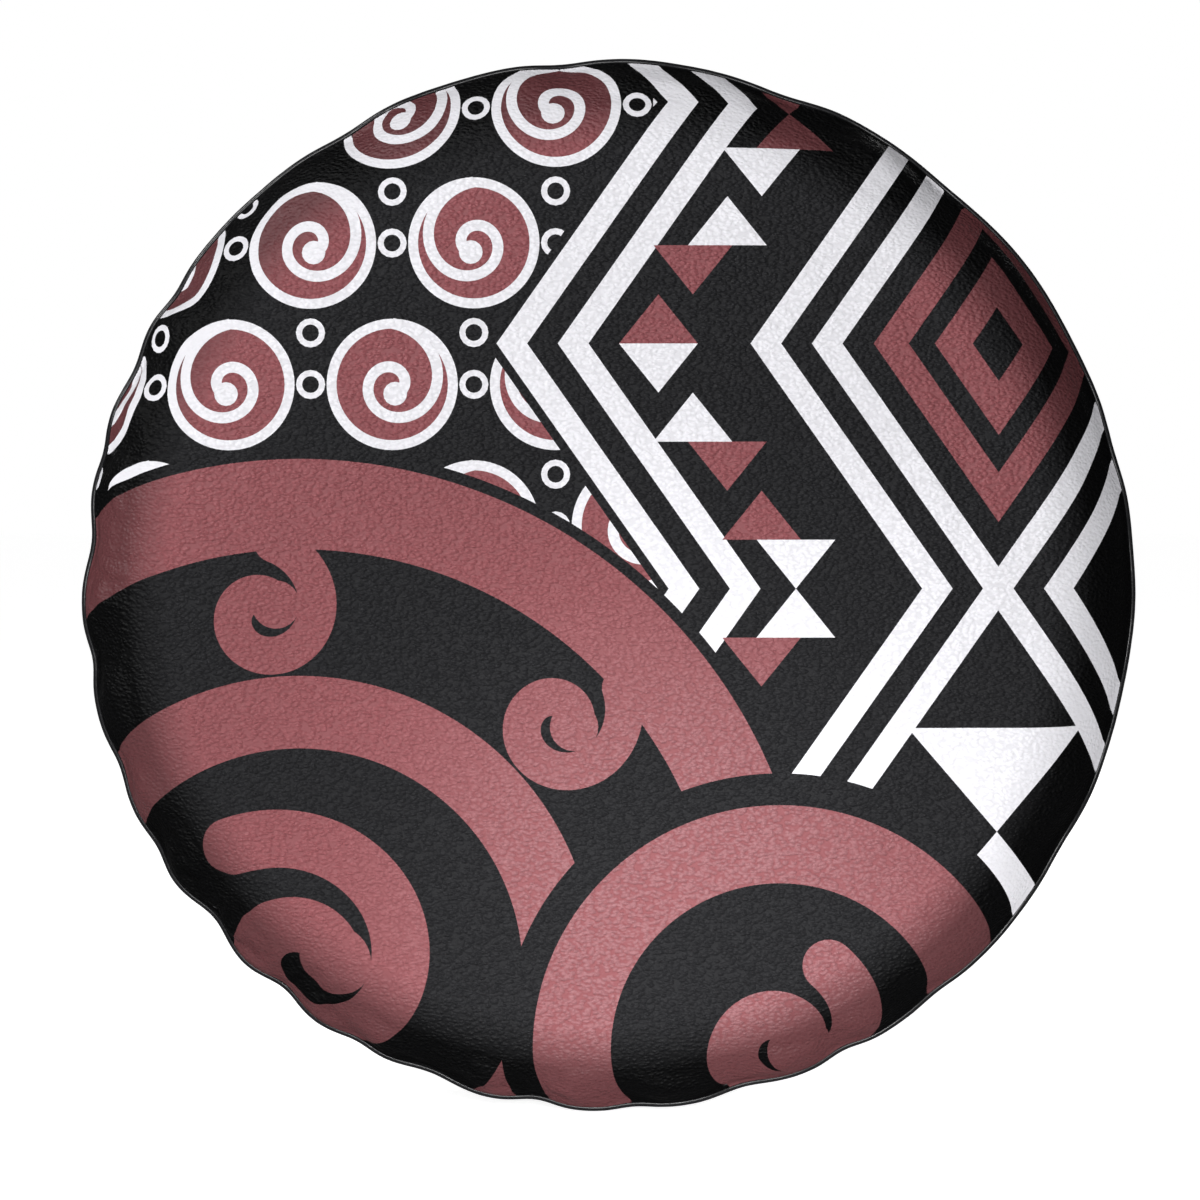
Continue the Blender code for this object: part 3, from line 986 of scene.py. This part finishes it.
def leatherette(name, colour, sheen, roughness, depth, shoulder=1.0, painted_sheen=None):
    """Coated cloth with an embossed pebble grain: cells of about 3 mm, a little wider than high.

    Over the tyre's shoulder the grain is flatter, and the colour there is painted shade, falling to shoulder
    times itself. A pale colour, where given, is painted round a place low on the face as a painted highlight."""
    n = Nodes(name)
    drift = n.add("TexNoise", {"Vector": n.place, "Scale": 130.0, "Detail": 2.0}, output=1)
    bent = n.add("VectorMath", {0: drift, 1: (0.003, 0.003, 0.003)}, operation="MULTIPLY")
    place = n.add("VectorMath", {0: n.place, 1: bent}, operation="ADD")
    wide = n.add("VectorMath", {0: place, 1: (0.72, 1.0, 1.1)}, operation="MULTIPLY")
    pebble = n.add("TexVoronoi", {"Vector": wide, "Scale": 400.0, "Smoothness": 0.35}, feature="SMOOTH_F1")
    dome = n.ramp(pebble, 0.12, 0.72, 1.0, 0.0)
    fine = n.noise(1400.0, 2.0)
    # Towards the front seam the grain is flattened and the colour darkened: painted shade over the shoulder.
    flat_grain_and_shade = n.ramp(n.radius(), 0.302, 0.334) if shoulder < 1 else 0.0
    grain = n.maths("MULTIPLY", dome, n.maths("SUBTRACT", 1.0, n.maths("MULTIPLY", flat_grain_and_shade, 0.55)))
    height = n.maths("ADD", grain, n.maths("MULTIPLY", fine, 0.15))
    soft = n.ramp(n.noise(7.0, 4.0), 0.3, 0.7)
    tone_and_sheen = n.blend(soft, tuple(c * 0.95 for c in colour), tuple(min(1.0, c * 1.03) for c in colour))
    # Painted highlight: the colour is painted paler round a place low on the face.
    if painted_sheen:
        away = n.add("VectorMath", {0: n.place, 1: PAINTED_SHEEN_PLACE}, output=1, operation="DISTANCE")
        inputs = {"Value": away, "From Min": PAINTED_SHEEN_NEAR, "From Max": PAINTED_SHEEN_FAR}
        tone_and_sheen = n.blend(n.add("MapRange", inputs, interpolation_type="SMOOTHSTEP"), painted_sheen, tone_and_sheen)
    base = n.blend(n.ramp(dome, 0.0, 0.5), tuple(c * 0.86 for c in colour), tone_and_sheen)
    # Painted shade: over the shoulder the colour falls to shoulder times itself.
    base = n.blend(flat_grain_and_shade, base, tuple(c * shoulder for c in colour))
    rough = n.ramp(dome, 0.0, 1.0, roughness + 0.14, roughness)
    rough = n.maths("ADD", rough, n.ramp(soft, 0.0, 1.0, 0.03, -0.03))
    bumps = n.bump(height, depth)
    return n.finish(Base_Color=base, Roughness=rough, Specular_IOR_Level=sheen, Normal=bumps)


def knitted(name, colour):
    n = Nodes(name)
    loops = n.add("TexVoronoi", {"Vector": n.place, "Scale": 900.0}, feature="F1")
    base = n.blend(n.ramp(loops, 0.1, 0.7), colour, tuple(c * 0.45 for c in colour))
    soft = n.noise(420.0, 3.0)
    bumps = n.bump(n.maths("SUBTRACT", soft, loops), 0.4 * MM, 0.8)
    return n.finish(Base_Color=base, Roughness=0.95, Specular_IOR_Level=0.2, Normal=bumps)


def glossy_vinyl(name):
    n = Nodes(name)
    base = n.blend(n.noise(60.0), (0.007, 0.007, 0.008), (0.012, 0.012, 0.013))
    rough = n.ramp(n.noise(240.0, 3.0), 0.3, 0.7, 0.20, 0.32)
    bumps = n.bump(n.noise(500.0, 3.0), 0.15 * MM, 0.5)
    return n.finish(Base_Color=base, Roughness=rough, Specular_IOR_Level=0.22, Normal=bumps)


def woven_elastic(name):
    """White elastic webbing: fine cords lengthwise, which are rings round the wheel."""
    n = Nodes(name)
    cords = n.maths("SINE", n.maths("MULTIPLY", n.radius(), 5200.0), 0.0)
    base = n.blend(n.ramp(cords, -1.0, 1.0), (0.50, 0.50, 0.48), (0.74, 0.74, 0.72))
    height = n.maths("ADD", cords, n.noise(1800.0, 2.0))
    return n.finish(Base_Color=base, Roughness=0.85, Normal=n.bump(height, 0.2 * MM, 0.8))


def spun(name, colour, scale, roughness):
    """Thread or cord: fine fibres."""
    n = Nodes(name)
    fibres = n.noise(scale, 4.0)
    base = n.blend(n.ramp(fibres, 0.35, 0.65), tuple(c * 0.6 for c in colour), colour)
    return n.finish(Base_Color=base, Roughness=roughness, Normal=n.bump(fibres, 0.2 * MM, 0.7))


def make_materials():
    return {
        # The sixth number is the colour's painted shade over the shoulder: black, white and red go darker
        # there.
        "black_print": leatherette("black_print", (0.0165, 0.0165, 0.0181), 0.10, 0.44, 1.7 * MM, 0.10),
        "white_print": leatherette("white_print", (0.705, 0.697, 0.733), 0.20, 0.48, 0.6 * MM, 0.88),
        # Painted highlight: the red is painted paler low on the face.
        "red_print": leatherette("red_print", RED, 0.30, 0.44, 1.2 * MM, 0.38, PAINTED_SHEEN_RED),
        "leatherette": leatherette("black_leatherette", (0.013, 0.013, 0.014), 0.25, 0.46, 1.2 * MM),
        "backing": knitted("knit_backing", (0.11, 0.11, 0.115)),
        "piping": glossy_vinyl("piping_vinyl"),
        "cord": spun("filler_cord", (0.75, 0.73, 0.68), 900.0, 0.85),
        "elastic": woven_elastic("elastic_web"),
        "thread": spun("sewing_thread", (0.055, 0.055, 0.058), 2400.0, 0.55),
    }


# The studio.

PALE = 0.78
WORLD_STOPS = ((0.0, 0.25), (0.12, 0.18), (0.32, 0.03), (0.80, 0.03), (0.94, 0.30), (0.975, 1.0))


def make_floor():
    """A wide pale floor, lit up behind the object, which doesn't mirror it."""
    z = CAD_BOX[0].z - 1 * MM
    corners = np.array([(-14, -14, z), (14, -14, z), (14, 14, z), (-14, 14, z)])
    floor = new_object("floor", new_mesh("floor", corners, [(0, 1, 2, 3)]))
    n = Nodes("floor")
    glow = n.ramp(n.add("SeparateXYZ", {0: n.place}, output=1), -0.7, -0.1, 0.0, 0.90)
    white, pale = (1.0, 1.0, 1.0), (PALE, PALE, PALE)
    n.finish(Base_Color=pale, Roughness=0.9, Emission_Color=white, Emission_Strength=glow)
    floor.data.materials.append(n.material)
    floor.visible_glossy = False


def make_world():
    """Dim all round, so that the shoulders stay dark, paler in front, and white behind."""
    world = bpy.data.worlds.new("studio")
    world.use_nodes = True
    tree = world.node_tree
    direction = tree.nodes.new("ShaderNodeTexCoord")
    split = tree.nodes.new("ShaderNodeSeparateXYZ")
    tree.links.new(direction.outputs["Generated"], split.inputs[0])
    ramp = tree.nodes.new("ShaderNodeValToRGB")
    place = tree.nodes.new("ShaderNodeMapRange")
    place.inputs["From Min"].default_value = -1
    tree.links.new(split.outputs["Y"], place.inputs["Value"])
    tree.links.new(place.outputs["Result"], ramp.inputs["Fac"])
    stops = ramp.color_ramp.elements
    for position, level in WORLD_STOPS:
        stop = stops[0] if position == 0.0 else stops.new(position)
        stop.color = (level, level, level, 1)
    stops[-1].color = (1, 1, 1, 1)
    tree.links.new(ramp.outputs["Color"], tree.nodes["Background"].inputs["Color"])
    tree.nodes["Background"].inputs["Strength"].default_value = 1.0
    bpy.context.scene.world = world


def lamp(name, kind, place, target, power):
    light = bpy.data.lights.new(name, kind)
    light.energy = power
    holder = new_object(name, light)
    holder.location = place
    holder.rotation_euler = (Vector(target) - Vector(place)).to_track_quat("-Z", "Y").to_euler()
    return light


def softbox(name, place, size, power):
    lamp(name, "AREA", place, (0, 0, 0), power).size = size


def make_studio():
    make_floor()
    make_world()
    softbox("key", (-0.4, -3.4, 0.55), 0.9, 66)
    softbox("rake", (-2.4, -1.7, 2.2), 0.7, 80)
    softbox("back_fill", (1.4, 2.8, 1.5), 1.2, 25)
    spot = lamp("low_glow", "SPOT", (0.5, -3.3, 0.3), (0.05, 0, -0.22), 380)
    spot.spot_size, spot.spot_blend, spot.shadow_soft_size = math.radians(10), 1.0, 0.15
    bpy.context.scene.view_settings.view_transform = "Standard"


# How much the camera takes in, from side to side.
VIEW_WIDTH = 0.834


def make_camera():
    """Square on to the face from 3.5 m, and a little above it."""
    distance, elevation = 3.5, math.radians(2.4)
    camera = bpy.data.cameras.new("camera")
    camera.sensor_width = 36
    camera.lens = camera.sensor_width * distance / VIEW_WIDTH
    made = new_object("camera", camera)
    target = Vector((-0.0056, 0.045, -0.0087))
    made.location = target + distance * Vector((0, -math.cos(elevation), math.sin(elevation)))
    made.rotation_euler = (math.pi / 2 - elevation, 0, 0)
    camera.clip_start, camera.clip_end = 0.05, 60
    bpy.context.scene.camera = made


def main():
    materials = make_materials()
    face, band, face_fold, band_fold = shape_cover()
    printed = make_face(face, face_fold, materials)
    place_piece(printed, "front_panel")
    rows = np.r_[0.0, face_rows(face, face_fold, 7 * MM)]
    angles = np.arange(420) * 2 * math.pi / 420
    points, _ = face.at(rows[:, None], angles[None, :])
    backing = sheet_piece("face_backing", points, SKIN + GAP, BACKING, True, materials["backing"])
    place_piece(backing, "front_backing")
    for side in (1, -1):
        for piece in make_band_half(band, band_fold, side, materials):
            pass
    cover, core = make_piping(materials)
    make_elastic(band, materials)
    make_threads(face, band, band_fold, materials)
    make_studio()
    make_camera()


main()
